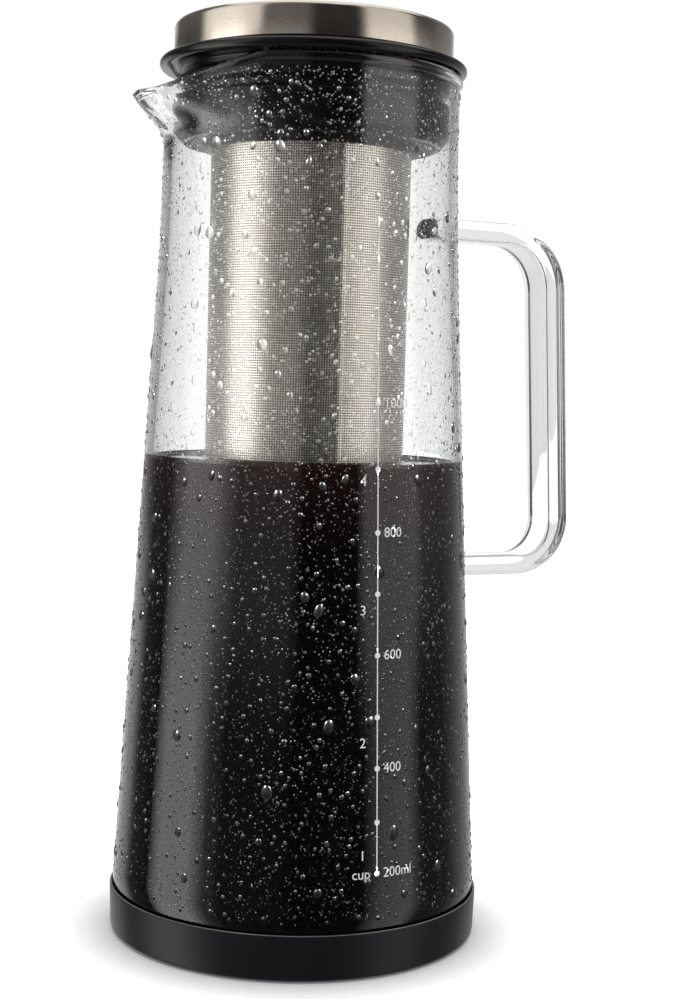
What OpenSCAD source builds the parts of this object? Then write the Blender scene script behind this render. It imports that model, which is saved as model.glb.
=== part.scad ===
// Cold brew coffee maker: glass carafe with spout and strap handle, soft boot,
// neck stopper, hanging filter and steel-capped lid.
// Millimetres, +Z up. The origin is the centre of the boot's flat underside.
// The handle is on +X and the spout on -X.

/* [Carafe] */
// Height of the glass rim above the table
rim_z = 242.6; // [210:0.2:300]
// Outer radius of the glass just above the boot
body_r = 52; // [46:0.2:64]
// Outer radius of the glass neck
neck_r = 41.2; // [38.5:0.1:49.4]
// Height of the upright neck below the rim
neck_h = 6; // [3:0.5:12]
// Height over which the taper turns upright, below the neck
shoulder_h = 56; // [30:1:80]
// Thickness of the glass wall
glass_t = 2.3; // [1.6:0.1:2.8]
// Thickness of the glass floor
glass_floor_t = 3; // [2:0.1:6]
// Outer radius of the round between wall and floor
foot_round = 9; // [6:0.5:14]
// Thickness of the rolled rim
rim_bead_d = 3.2; // [2.8:0.1:4]

/* [Spout] */
// How far the spout's tip stands out from the neck
spout_reach = 12.6; // [8:0.2:18]
// Outer radius of the spout's tip, seen from above
spout_tip_r = 8; // [6:0.2:12]
// How far the tip lies below the rim
spout_dip = 9; // [5:0.2:11]
// How far the spout's root lies below the rim
spout_depth = 18; // [16:0.2:26]

/* [Handle] */
// Width of the glass strap
strap_w = 12.8; // [8:0.2:16]
// Thickness of the glass strap in its two arms
strap_t = 6; // [5:0.2:8]
// Thickness of the glass strap along the grip
grip_t = 8; // [5:0.2:10]
// Radius of the strap's outer edges
strap_out_round = 3; // [1:0.1:3.4]
// Radius of the strap's inner edges
strap_in_round = 1.4; // [0.6:0.1:2]
// Distance from the rim down to the middle of the upper arm
handle_drop = 40; // [30:0.5:60]
// Distance between the middles of the two arms
handle_span = 99.6; // [70:0.2:125]
// Distance from the glass wall to the grip's outer face, at the grip's middle
handle_reach = 43.4; // [38:0.2:60]
// Radius of the upper bend's middle line
bend_top_r = 17; // [10:0.5:24]
// Radius of the lower bend's middle line
bend_low_r = 13.5; // [10:0.5:20]
// How many times wider the strap is where it is fused to the wall
root_flare = 1.1; // [1:0.05:1.5]
// Length of the strap over which it flares
root_flare_len = 7; // [3:0.5:12]

/* [Boot] */
// Height of the soft boot
boot_h = 12.9; // [12.4:0.1:15.5]
// Thickness of the boot's wall where it grips the foot
boot_t = 2.1; // [1.6:0.1:3]
// Thickness of the boot's floor
boot_floor_t = 2.2; // [1.5:0.1:4]
// Radius of the boot's lower edge
boot_edge_r = 1.4; // [0.5:0.1:1.8]

/* [Stopper] */
// Depth of the stopper below the rim
plug_depth = 20; // [17:0.2:30]
// Height of the lower sealing rib
foot_rib_h = 11; // [6:0.2:12]
// Chamfer under the lower sealing rib
foot_chamfer = 2.2; // [1:0.1:3]
// Height of the groove between the ribs
rib_groove_h = 3; // [1.5:0.1:4]
// Depth of the groove between the ribs
rib_groove_t = 1.9; // [1:0.1:2.2]
// Height of the upper sealing rib
top_rib_h = 3.6; // [2:0.1:5]
// How far the flange overhangs the neck
flange_over = 1.9; // [1.4:0.1:4]
// Thickness of the flange's round edge
flange_bead_d = 2.8; // [2:0.1:4]
// Height of the step on the flange that lifts the cap clear of its round edge
cap_step_h = 0.8; // [0.6:0.1:2]
// How far that step stands out beyond the cap
cap_step_over = 0.4; // [0.2:0.1:0.8]
// Fall of the flange's top from the cap's edge in to the filter's seat
seat_fall = 0.9; // [0:0.1:1.2]
// Length of the slopes beside the sealing ribs
rib_slope = 0.8; // [0.4:0.1:1.2]
// Thickness of the sleeve between its ribs
sleeve_t = 1.8; // [1.2:0.1:2.4]
// Radial width of the stiff ring inside the sleeve
core_w = 4.5; // [4:0.1:7]
// Thickness of the stiff ring's walls
core_wall_t = 1.5; // [1:0.1:1.7]
// Height of the ridge that locks the sleeve on the stiff ring
ridge_h = 3; // [2:0.2:4]
// How far that ridge stands out
ridge_t = 1; // [0.6:0.1:1.4]

/* [Filter] */
// Thickness of the screen's sheet
sheet_t = 0.3; // [0.2:0.05:0.5]
// Clearance between the filter and the glass floor
filter_floor_gap = 18.8; // [8:0.2:60]
// Height of the pressed cup on the filter's lower end
cup_h = 8; // [4:0.5:14]
// Thickness of the pressed cup's sheet
cup_sheet_t = 0.5; // [0.3:0.05:0.8]
// Corner radius of the pressed cup
cup_edge_r = 1.6; // [1:0.1:3]
// Width of the screen's lapped seam
seam_w = 3; // [2:0.5:5]
// Distance from the seam's ends to the cup and to the collar
seam_end_gap = 0.3; // [0.1:0.1:1]
// Direction of the seam, seen from above and counted from the handle
seam_turn = -99; // [-180:1:180]
// Wall of the moulded collar
collar_t = 1.7; // [1.2:0.1:2]
// How far the collar shows below the stopper
collar_drop = 2; // [1:0.2:4]
// How far the collar holds the screen
collar_grip = 14; // [8:0.5:16]
// Thickness of the collar's rim
collar_rim_t = 1.6; // [1.2:0.1:2]
// How far the collar's rim reaches out over the sleeve
collar_rim_over = 1.2; // [0.6:0.1:1.6]
// Depth of the ledge in the collar that the screen stops against
screen_ledge = 0.2; // [0.1:0.05:0.4]
// Chamfer on the collar's edges
collar_chamfer = 0.4; // [0.2:0.05:0.5]
// Thickness of the washer under the collar's rim
washer_t = 1; // [0.8:0.1:1.2]

/* [Lid] */
// Height of the steel cap
cap_h = 9.1; // [8.4:0.1:14]
// How far the steel cap stands inside the neck's outer radius
cap_inset = 2.1; // [1.6:0.1:3]
// Thickness of the cap's sheet
cap_sheet_t = 0.6; // [0.4:0.05:0.8]
// Corner radius of the cap
cap_edge_r = 1.5; // [1:0.1:2.5]
// Width of the hem turned in under the cap
hem_w = 1.6; // [1:0.1:2.2]
// Depth of the plug below the cap's lower edge
lid_plug_h = 9; // [7:0.2:10.5]
// Thickness of the plug's walls
lid_wall_t = 1.8; // [1.2:0.1:2.2]
// Chamfer on the plug's lower edge
lid_chamfer = 0.5; // [0.2:0.1:1]
// Thickness of the round sealing ring
ring_d = 2.2; // [1.8:0.1:2.6]
// How far the ring stands out of its groove
ring_out = 0.75; // [0.5:0.05:0.9]
// How much higher than the ring its groove is
ring_play = 0.2; // [0.1:0.05:0.4]

/* [Fits] */
// Gap between pieces that lift apart
lift_gap = 0.35; // [0.3:0.05:0.5]
// Gap under a piece that rests on another
seat_gap = 0.15; // [0.1:0.05:0.3]
// Gap between pieces that are bonded or stretched together
bond_gap = 0.05; // [0.02:0.01:0.1]

/* [Hidden] */
$fn = 96;
// Reach of a cutting tool past the surface that it cuts
past = 5;

// Glass: the wall tapers straight, then turns upright over the shoulder.
glass_low_z = boot_floor_t;
wall_low_z = boot_h + 1.1;
wall_bend_z = rim_z - neck_h - shoulder_h;
neck_z = rim_z - neck_h;
taper = (body_r - neck_r) / (wall_bend_z - wall_low_z + shoulder_h / 2);
bore_r = neck_r - glass_t;
glass_foot_r = body_r + 0.8 - boot_t;
bead_r = rim_bead_d / 2;
bead_z = rim_z - bead_r;
shoulder_steps = 10;

// Outer radius of the glass above the boot, at height z
function wall_r(z) =
    z <= wall_bend_z ? body_r - taper * (z - wall_low_z)
  : z >= neck_z ? neck_r
  : neck_r + taper * pow(neck_z - z, 2) / (2 * shoulder_h);

// Heights at which the wall's outline has a point, from low to high
wall_zs = [wall_low_z, wall_bend_z,
           for (i = [1 : shoulder_steps]) wall_bend_z + shoulder_h * i / shoulder_steps];

// Quarter or other stretch of a circle, as outline points
function arc(centre, r, from, to, steps = 8) =
    [for (i = [0 : steps])
        let (a = from + (to - from) * i / steps)
        [centre[0] + r * cos(a), centre[1] + r * sin(a)]];

// Spout
tip_x = neck_r + spout_reach - spout_tip_r;
tip_z = rim_z - spout_dip;
root_z = rim_z - spout_depth;
lip_t = 1.6;
// The spout's blended solids stay this far inside the round wall that they join
blend_in = 0.4;

// Handle, in the XZ plane
lean = atan(taper);
handle_top_z = rim_z - handle_drop;
handle_low_z = handle_top_z - handle_span;
grip_mid_z = (handle_top_z + handle_low_z) / 2;
grip_mid_x = wall_r(grip_mid_z) + handle_reach - grip_t / 2;
bend_steps = 10;

// Boot
boot_r = body_r + 0.8;
boot_lip_round = 0.4;

// Stopper: radii inwards from the glass, heights up from the plug's underside
plug_r = bore_r - lift_gap;
waist_r = plug_r - rib_groove_t;
core_r = waist_r - sleeve_t - bond_gap;
core_in_r = core_r - core_w;
plug_low_z = rim_z - plug_depth;
groove_low_z = plug_low_z + foot_rib_h;
groove_top_z = groove_low_z + rib_groove_h;
top_rib_z = groove_top_z + top_rib_h;
ridge_z = plug_low_z + foot_rib_h / 2;
flange_low_z = rim_z + seat_gap;
flange_r = neck_r + flange_over;
flange_bead_r = flange_bead_d / 2;

// Cap
cap_r = neck_r - cap_inset;
cap_low_z = flange_low_z + flange_bead_d + cap_step_h;
cap_top_z = cap_low_z + cap_h;
hem_top_z = cap_low_z + cap_sheet_t;

// Filter: its rim lies on the stiff ring, just under the cap
collar_r = core_in_r - lift_gap;
collar_in_r = collar_r - collar_t;
screen_r = collar_in_r - bond_gap;
collar_bore_r = screen_r - sheet_t - screen_ledge;
collar_top_z = cap_low_z - lift_gap;
collar_rim_z = collar_top_z - collar_rim_t;
collar_rim_r = core_r + collar_rim_over;
washer_z = collar_rim_z - washer_t;
core_top_z = washer_z - seat_gap;
collar_low_z = plug_low_z - collar_drop;
screen_top_z = collar_low_z + collar_grip;
filter_low_z = glass_low_z + glass_floor_t + filter_floor_gap;
cup_r = screen_r + bond_gap + cup_sheet_t;

// Lid plug, which closes the collar's bore
lid_neck_r = collar_bore_r - lift_gap - ring_out;
lid_low_z = cap_low_z - lid_plug_h;
lid_floor_z = collar_top_z + seat_gap;
ring_groove_h = ring_d + ring_play;
ring_z = lid_low_z + lid_wall_t + ring_groove_h / 2;
ring_mid_r = collar_bore_r - lift_gap - ring_d / 2;

module revolve(points) rotate_extrude() polygon(points);

// ---- Carafe ----

function glass_outer_points() = concat(
    [[0, glass_low_z]],
    arc([glass_foot_r - foot_round, glass_low_z + foot_round], foot_round, -90, 0),
    [for (z = wall_zs) [wall_r(z), z]],
    [[neck_r, bead_z]]);

function glass_inner_points() =
    let (r = foot_round - glass_t, floor_z = glass_low_z + glass_floor_t)
    concat(
        [[0, floor_z]],
        arc([glass_foot_r - glass_t - r, floor_z + r], r, -90, 0),
        [for (z = wall_zs) [wall_r(z) - glass_t, z]],
        [[bore_r, rim_z + past], [0, rim_z + past]]);

module rim_bead()
    rotate_extrude()
        translate([bore_r + bead_r, bead_z]) circle(bead_r, $fn = 32);

// A wedge-shaped block that runs from the neck to the spout's tip
module spout_block(neck_radius, low_z, high_z, tip_radius, tip_low_z, tip_high_z)
    hull() {
        translate([0, 0, low_z])
            cylinder(r = neck_radius, h = high_z - low_z, $fn = 72);
        translate([-tip_x, 0, tip_low_z])
            cylinder(r = tip_radius, h = tip_high_z - tip_low_z, $fn = 36);
    }

module spout_outside()
    spout_block(neck_r - blend_in, root_z, bead_z, spout_tip_r, tip_z - lip_t, tip_z);

module spout_inside() {
    slope = (spout_depth - spout_dip - lip_t) / (spout_reach + blend_in);
    rise = glass_t * (sqrt(1 + slope * slope) - slope);
    spout_block(bore_r - blend_in, root_z + rise, rim_z + past,
                spout_tip_r - glass_t, tip_z - lip_t + rise, rim_z + past);
}

module carafe_glass()
    color([0.86, 0.92, 0.93, 0.4])
        difference() {
            union() {
                revolve(concat(glass_outer_points(), [[0, bead_z]]));
                rim_bead();
                spout_outside();
            }
            revolve(glass_inner_points());
            spout_inside();
        }

// ---- Handle ----

// The strap's section: [thickness, width] points, flat towards the carafe and well
// rounded on the outside
function strap_section() =
    let (out = strap_out_round, in = strap_in_round)
    concat(
        arc([strap_t / 2 - out, strap_w / 2 - out], out, 0, 90, 5),
        arc([in - strap_t / 2, strap_w / 2 - in], in, 90, 180, 3),
        arc([in - strap_t / 2, in - strap_w / 2], in, 180, 270, 3),
        arc([strap_t / 2 - out, out - strap_w / 2], out, 270, 360, 5));

// How much the strap widens at a point of its middle line, near the wall
function flare(x, z) =
    1 + (root_flare - 1) * pow(max(0, 1 - (x - wall_r(z)) / root_flare_len), 2);

// How much thicker the strap is where its outer face points in direction a: it swells
// round the bends, from the arms to the grip
function swell(a) = 1 + (grip_t / strap_t - 1) * pow(cos(a - lean), 2);

// Middle line of the strap: [x, z, direction of its outer face] from root to root
function strap_line() =
    let (top_c_z = handle_top_z - bend_top_r,
         low_c_z = handle_low_z + bend_low_r,
         top_c_x = grip_mid_x + (grip_mid_z - top_c_z) * tan(lean) - bend_top_r / cos(lean),
         low_c_x = grip_mid_x + (grip_mid_z - low_c_z) * tan(lean) - bend_low_r / cos(lean),
         top_x = wall_r(handle_top_z), low_x = wall_r(handle_low_z),
         arm_steps = [-glass_t / root_flare_len, 0, 0.2, 0.4, 0.7, 1])
    concat(
        [for (t = arm_steps) [top_x + t * root_flare_len, handle_top_z, 90]],
        [for (i = [0 : bend_steps])
            let (a = 90 - (90 - lean) * i / bend_steps)
            [top_c_x + bend_top_r * cos(a), top_c_z + bend_top_r * sin(a), a]],
        [for (i = [0 : bend_steps])
            let (a = lean - (90 + lean) * i / bend_steps)
            [low_c_x + bend_low_r * cos(a), low_c_z + bend_low_r * sin(a), a]],
        [for (i = [1 : len(arm_steps)])
            [low_x + arm_steps[len(arm_steps) - i] * root_flare_len, handle_low_z, -90]]);

// Sweeps the section along the middle line
module handle_strap() {
    line = strap_line();
    section = strap_section();
    n = len(section);
    rings = len(line);
    points = [for (s = line) for (p = section)
        let (k = flare(s[0], s[1]), out = k * swell(s[2]) * p[0])
        [s[0] + out * cos(s[2]), k * p[1], s[1] + out * sin(s[2])]];
    sides = [for (i = [0 : rings - 2]) for (j = [0 : n - 1])
        let (a = i * n + j, b = i * n + (j + 1) % n)
        each [[a, b, b + n], [a, b + n, a + n]]];
    ends = [[for (j = [0 : n - 1]) n - 1 - j], [for (j = [0 : n - 1]) (rings - 1) * n + j]];
    polyhedron(points, concat(sides, ends));
}

module carafe_handle()
    color([0.86, 0.92, 0.93, 0.5])
        difference() {
            handle_strap();
            revolve(concat([[0, wall_low_z]],
                           [for (z = wall_zs) [wall_r(z) + bond_gap, z]],
                           [[0, neck_z]]));
        }

// ---- Boot ----

module base_boot()
    color([0.16, 0.15, 0.16])
        difference() {
            revolve(concat(
                [[0, 0]],
                arc([boot_r - boot_edge_r, boot_edge_r], boot_edge_r, -90, 0),
                arc([boot_r - boot_lip_round, boot_h - boot_lip_round], boot_lip_round, 0, 90, 4),
                [[0, boot_h]]));
            revolve(concat(
                [for (p = glass_outer_points())
                    [p[1] > glass_low_z ? p[0] + bond_gap : p[0], p[1]]],
                [[0, bead_z]]));
        }

// ---- Stopper ----

// Outline of the ridge that locks the sleeve on the stiff ring, grown by a gap
function ridge(gap) = [[core_r + gap, ridge_z - ridge_h / 2 - gap],
                       [core_r + ridge_t + gap, ridge_z - ridge_h / 2 + ridge_t / 2],
                       [core_r + ridge_t + gap, ridge_z + ridge_h / 2 - ridge_t / 2],
                       [core_r + gap, ridge_z + ridge_h / 2 + gap]];

module stopper_sleeve()
    color([0.07, 0.07, 0.08])
        revolve(concat(
            [[core_r + bond_gap, plug_low_z],
             [plug_r - foot_chamfer, plug_low_z],
             [plug_r, plug_low_z + foot_chamfer],
             [plug_r, groove_low_z],
             [waist_r, groove_low_z + rib_slope],
             [waist_r, groove_top_z - rib_slope / 2],
             [plug_r, groove_top_z + rib_slope / 2],
             [plug_r, top_rib_z - rib_slope / 2],
             [waist_r, top_rib_z + rib_slope / 2],
             [waist_r, flange_low_z]],
            arc([flange_r - flange_bead_r, flange_low_z + flange_bead_r],
                flange_bead_r, -90, 60),
            [[cap_r + cap_step_over, cap_low_z - lift_gap],
             [collar_rim_r + lift_gap, cap_low_z - lift_gap - seat_fall],
             [collar_rim_r + lift_gap, core_top_z],
             [core_r + bond_gap, core_top_z]],
            [for (i = [3 : -1 : 0]) ridge(bond_gap)[i]]));

// A channel open at the top: its inner wall guides the filter, its outer wall
// carries the sleeve
module stopper_core()
    color([0.1, 0.1, 0.11])
        revolve(concat(
            [[core_in_r, plug_low_z + bond_gap],
             [core_r, plug_low_z + bond_gap]],
            ridge(0),
            [[core_r, core_top_z],
             [core_r - core_wall_t, core_top_z],
             [core_r - core_wall_t, plug_low_z + core_wall_t],
             [core_in_r + core_wall_t, plug_low_z + core_wall_t],
             [core_in_r + core_wall_t, core_top_z],
             [core_in_r, core_top_z]]));

// ---- Filter ----

module filter_collar()
    color([0.08, 0.08, 0.09])
        revolve([[collar_in_r, collar_low_z],
                 [collar_r - collar_chamfer, collar_low_z],
                 [collar_r, collar_low_z + collar_chamfer],
                 [collar_r, collar_rim_z],
                 [collar_rim_r - collar_chamfer, collar_rim_z],
                 [collar_rim_r, collar_rim_z + collar_chamfer],
                 [collar_rim_r, collar_top_z - collar_chamfer],
                 [collar_rim_r - collar_chamfer, collar_top_z],
                 [collar_bore_r + collar_chamfer, collar_top_z],
                 [collar_bore_r, collar_top_z - collar_chamfer],
                 [collar_bore_r, screen_top_z],
                 [collar_in_r, screen_top_z]]);

module filter_screen()
    color([0.72, 0.7, 0.66]) {
        // The screen's end stands on the cup's inner round
        low_z = filter_low_z + cup_edge_r;
        lap_low_z = filter_low_z + cup_h + seam_end_gap;
        lap_turn = 2 * asin(seam_w / 2 / screen_r);
        revolve([[screen_r - sheet_t, low_z], [screen_r, low_z],
                 [screen_r, screen_top_z - bond_gap],
                 [screen_r - sheet_t, screen_top_z - bond_gap]]);
        rotate([0, 0, seam_turn - lap_turn / 2])
            rotate_extrude(angle = lap_turn)
                translate([screen_r - sheet_t / 2, lap_low_z])
                    square([1.4 * sheet_t, collar_low_z - seam_end_gap - lap_low_z]);
    }

module filter_cup()
    color([0.7, 0.68, 0.65]) {
        inner = cup_edge_r - cup_sheet_t;
        revolve(concat(
            [[0, filter_low_z]],
            arc([cup_r - cup_edge_r, filter_low_z + cup_edge_r], cup_edge_r, -90, 0),
            [[cup_r, filter_low_z + cup_h],
             [cup_r - cup_sheet_t, filter_low_z + cup_h]],
            arc([cup_r - cup_edge_r, filter_low_z + cup_edge_r], inner, 0, -90),
            [[0, filter_low_z + cup_sheet_t]]));
    }

module filter_washer()
    color([0.15, 0.15, 0.16])
        revolve([[collar_r + bond_gap, washer_z], [core_r, washer_z],
                 [core_r, collar_rim_z - bond_gap], [collar_r + bond_gap, collar_rim_z - bond_gap]]);

// ---- Lid ----

// Drawn shell with a hem turned in under the plug
module lid_cap()
    color([0.62, 0.59, 0.55]) {
        mid = [cap_r - cap_edge_r, cap_top_z - cap_edge_r];
        inner = cap_edge_r - cap_sheet_t;
        in_r = cap_r - cap_sheet_t;
        revolve(concat(
            [[cap_r - hem_w, cap_low_z],
             [cap_r - cap_sheet_t / 2, cap_low_z],
             [cap_r, cap_low_z + cap_sheet_t / 2]],
            arc(mid, cap_edge_r, 0, 90),
            [[0, cap_top_z], [0, cap_top_z - cap_sheet_t]],
            arc(mid, inner, 90, 0),
            [[in_r, hem_top_z], [cap_r - hem_w, hem_top_z]]));
    }

// Hat-shaped moulding, closed at the bottom and covered by the cap
module lid_plug()
    color([0.08, 0.08, 0.09]) {
        out_r = cap_r - cap_sheet_t - bond_gap;
        top_z = cap_top_z - cap_sheet_t - bond_gap;
        step_r = cap_r - hem_w - bond_gap;
        low_z = hem_top_z + bond_gap;
        groove_r = ring_mid_r - ring_d / 2 - bond_gap;
        half = ring_groove_h / 2;
        inner_r = groove_r - lid_wall_t;
        revolve([[0, lid_low_z],
                 [lid_neck_r - lid_chamfer, lid_low_z],
                 [lid_neck_r, lid_low_z + lid_chamfer],
                 [lid_neck_r, ring_z - half],
                 [groove_r, ring_z - half],
                 [groove_r, ring_z + half],
                 [lid_neck_r, ring_z + half],
                 [lid_neck_r, lid_floor_z],
                 [step_r, lid_floor_z],
                 [step_r, low_z],
                 [out_r, low_z],
                 [out_r, top_z - cap_edge_r + cap_sheet_t],
                 [out_r - cap_edge_r + cap_sheet_t, top_z],
                 [out_r - lid_wall_t, top_z],
                 [out_r - lid_wall_t, lid_floor_z + lid_wall_t],
                 [inner_r, lid_floor_z + lid_wall_t],
                 [inner_r, lid_low_z + lid_wall_t],
                 [0, lid_low_z + lid_wall_t]]);
    }

module lid_ring()
    color([0.15, 0.15, 0.16])
        rotate_extrude()
            translate([ring_mid_r, ring_z]) circle(ring_d / 2, $fn = 32);

carafe_glass();
carafe_handle();
base_boot();
stopper_sleeve();
stopper_core();
filter_collar();
filter_screen();
filter_cup();
filter_washer();
lid_cap();
lid_plug();
lid_ring();
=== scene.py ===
"""Cold brew coffee maker: glass, steel, silicone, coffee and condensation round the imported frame.

Outlines are written in millimetres, as (radius, height) pairs, and make_mesh turns them into metres. The
object's frame has +Z up, the handle on +X and the spout on -X.
"""

import math

import bmesh
import bpy
import numpy as np
from mathutils import Matrix, Vector
from mathutils.bvhtree import BVHTree


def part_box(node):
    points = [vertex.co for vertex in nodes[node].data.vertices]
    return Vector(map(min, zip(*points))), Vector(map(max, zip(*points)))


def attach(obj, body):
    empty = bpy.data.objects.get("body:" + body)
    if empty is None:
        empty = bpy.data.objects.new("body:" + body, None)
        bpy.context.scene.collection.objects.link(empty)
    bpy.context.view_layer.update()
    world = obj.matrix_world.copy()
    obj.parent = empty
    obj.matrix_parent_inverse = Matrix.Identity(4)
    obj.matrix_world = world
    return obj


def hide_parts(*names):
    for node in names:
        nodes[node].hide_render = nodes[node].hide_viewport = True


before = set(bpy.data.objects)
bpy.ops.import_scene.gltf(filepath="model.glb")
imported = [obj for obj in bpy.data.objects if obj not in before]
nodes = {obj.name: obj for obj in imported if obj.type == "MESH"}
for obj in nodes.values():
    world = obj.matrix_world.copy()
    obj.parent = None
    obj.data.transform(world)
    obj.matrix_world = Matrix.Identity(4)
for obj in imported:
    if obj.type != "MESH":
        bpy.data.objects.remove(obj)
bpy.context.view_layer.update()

MM = 0.001
TAU = 2 * math.pi


def box_mm(node):
    low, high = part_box(node)
    return np.array(low) / MM, np.array(high) / MM


# ---------------- sizes, from the frame where it has them
glass_low, glass_high = box_mm("carafe_glass")
boot_high = box_mm("base_boot")[1]
sleeve_low, sleeve_high = box_mm("stopper_sleeve")
cap_low, cap_high = box_mm("lid_cap")
screen_low, screen_high = box_mm("filter_screen")
collar_low = box_mm("filter_collar")[0]

RIM_Z = glass_high[2]
BODY_R = glass_high[0]
NECK_R = 41.2
NECK_H = 6.0
SHOULDER_H = 56.0
GLASS_T = 2.3
GLASS_FLOOR_T = 3.0
FOOT_ROUND = 9.0
FOOT_R = boot_high[0] - 2.1
WALL_LOW_Z = boot_high[2] + 1.1
BORE_R = NECK_R - GLASS_T
TAPER = (BODY_R - NECK_R) / (RIM_Z - NECK_H - WALL_LOW_Z - SHOULDER_H / 2)
RIM_BEAD_R = 1.6
LIP_BEAD_R = 1.15

SPOUT_TIP_R = 8.0
SPOUT_TIP_X = -glass_low[0] - SPOUT_TIP_R
SPOUT_TIP_Z = RIM_Z - 9.0
SPOUT_ROOT_Z = RIM_Z - 18.4
SPOUT_INNER_RISE = 1.34

STRAP_W = 12.8
STRAP_T = 6.0
GRIP_T = 8.0
HANDLE_TOP_Z = RIM_Z - 40.0
HANDLE_LOW_Z = HANDLE_TOP_Z - 99.6
HANDLE_REACH = 43.4
HANDLE_SUNK = 0.5
BEND_TOP_R = 17.0
BEND_LOW_R = 13.5

COFFEE_Z = 134.6

# angles and rows of the carafe's mesh
SPOUT_ZONE = math.radians(60)
SOFT_TO = math.radians(58)
SOFT_FADE = math.radians(8)
SOFT_PASSES = 30
WALL_ROWS = 46
SPOUT_ROWS = 26

# condensation, in mm apart from FAR_OUT, the distance in metres at which a ray towards the wall starts
DROP_SUNK = 0.03
CELL = 3
RAY_SLACK = 0.3
FAR_OUT = 0.09
TRIES_PER_DROP = 12

GLASS_TINT = (0.985, 0.99, 0.99, 1)
GLASS_IOR = 1.47
WATER_IOR = 1.33


def wall_radius(z):
    """Outer radius of the glass above the boot: a straight taper that turns upright at the neck."""
    z = np.asarray(z, float)
    neck_z = RIM_Z - NECK_H
    straight = BODY_R - TAPER * (z - WALL_LOW_Z)
    turning = NECK_R + TAPER * np.square(np.maximum(neck_z - z, 0)) / (2 * SHOULDER_H)
    return np.where(z <= neck_z - SHOULDER_H, straight, turning)


# ---------------- mesh helpers
def make_mesh(name, points_mm, faces, sharp=35.0):
    """A mesh object from points in millimetres, smooth apart from edges over the given angle."""
    mesh = bpy.data.meshes.new(name)
    mesh.from_pydata((np.asarray(points_mm, float) * MM).tolist(), [], faces)
    bm = bmesh.new()
    bm.from_mesh(mesh)
    bmesh.ops.recalc_face_normals(bm, faces=bm.faces)
    bm.to_mesh(mesh)
    bm.free()
    mesh.shade_smooth()
    mesh.set_sharp_from_angle(angle=math.radians(sharp))
    obj = bpy.data.objects.new(name, mesh)
    bpy.context.scene.collection.objects.link(obj)
    return obj


def rounded(corners, steps=6):
    """Outline from (radius, height, corner radius) corners, each corner turned into an arc."""
    pts = [np.array(c[:2], float) for c in corners]
    outline = []
    count = len(pts)
    for i, corner in enumerate(corners):
        r = corner[2] if len(corner) > 2 else 0
        here = pts[i]
        if r <= 0 or i in (0, count - 1):
            outline.append(tuple(here))
            continue
        to_prev = pts[i - 1] - here
        to_next = pts[i + 1] - here
        to_prev /= np.linalg.norm(to_prev)
        to_next /= np.linalg.norm(to_next)
        half = math.acos(np.clip(np.dot(to_prev, to_next), -1, 1)) / 2
        cut = r / math.tan(half)
        middle = (to_prev + to_next) / np.linalg.norm(to_prev + to_next)
        centre = here + middle * r / math.sin(half)
        start = here + to_prev * cut - centre
        end = here + to_next * cut - centre
        a0 = math.atan2(start[1], start[0])
        turn = (math.atan2(end[1], end[0]) - a0 + math.pi) % TAU - math.pi
        for k in range(steps + 1):
            a = a0 + turn * k / steps
            outline.append((centre[0] + r * math.cos(a), centre[1] + r * math.sin(a)))
    return outline


def lathe(name, outline, segments=192, closed=True):
    """Turns an outline round the Z axis. Points on the axis become one vertex."""
    points, rings, faces = [], [], []
    turn = np.linspace(0, TAU, segments, endpoint=False)
    for r, z in outline:
        if r < 1e-6:
            rings.append([len(points)] * segments)
            points.append((0, 0, z))
        else:
            rings.append(list(range(len(points), len(points) + segments)))
            points.extend(zip(r * np.cos(turn), r * np.sin(turn), [z] * segments))
    pairs = list(zip(rings, rings[1:] + rings[:1])) if closed else list(zip(rings, rings[1:]))
    for low, high in pairs:
        for i in range(segments):
            j = (i + 1) % segments
            face = []
            for v in (low[i], low[j], high[j], high[i]):
                if v not in face:
                    face.append(v)
            if len(face) > 2:
                faces.append(face)
    return make_mesh(name, points, faces)


def tube(name, centres, frames, sections):
    """Sweeps sections of (out, side) points along centres; frames gives the out and side directions and a
    scale."""
    points, faces = [], []
    n = len(sections[0])
    last = len(centres) - 1
    for c, (out, side, scale), section in zip(centres, frames, sections):
        for a, b in section:
            points.append(np.array(c) + np.array(out) * a * scale + np.array(side) * b * scale)
    for i in range(last):
        for j in range(n):
            k = (j + 1) % n
            faces.append([i * n + j, i * n + k, (i + 1) * n + k, (i + 1) * n + j])
    faces.append(list(range(n)))
    faces.append([last * n + j for j in range(n)])
    return make_mesh(name, points, faces, sharp=50)


# ---------------- materials
def new_material(name):
    material = bpy.data.materials.new(name)
    material.use_nodes = True
    tree = material.node_tree
    return material, tree, tree.nodes["Principled BSDF"]


def add(tree, kind, **settings):
    """Adds a node and sets its properties."""
    node = tree.nodes.new(kind)
    for key, value in settings.items():
        setattr(node, key, value)
    return node


def feed(tree, socket, value):
    """Sets a socket to a number or colour, or links another node's output to it."""
    if isinstance(value, (int, float, tuple)):
        socket.default_value = value
    else:
        tree.links.new(value, socket)


def maths(tree, operation, *values):
    node = add(tree, "ShaderNodeMath", operation=operation)
    for socket, value in zip(node.inputs, values):
        feed(tree, socket, value)
    return node.outputs[0]


def object_place(tree):
    return add(tree, "ShaderNodeTexCoord").outputs["Object"]


def length_of(tree, a, b):
    squares = maths(tree, "ADD", maths(tree, "MULTIPLY", a, a), maths(tree, "MULTIPLY", b, b))
    return maths(tree, "SQRT", squares)


def round_coordinates(tree):
    """Object coordinates, then the angle round the axis, the distance from it and the height, in radians and
    metres."""
    place = object_place(tree)
    split = add(tree, "ShaderNodeSeparateXYZ")
    tree.links.new(place, split.inputs[0])
    x, y, z = split.outputs
    return place, maths(tree, "ARCTAN2", y, x), length_of(tree, x, y), z


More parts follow.
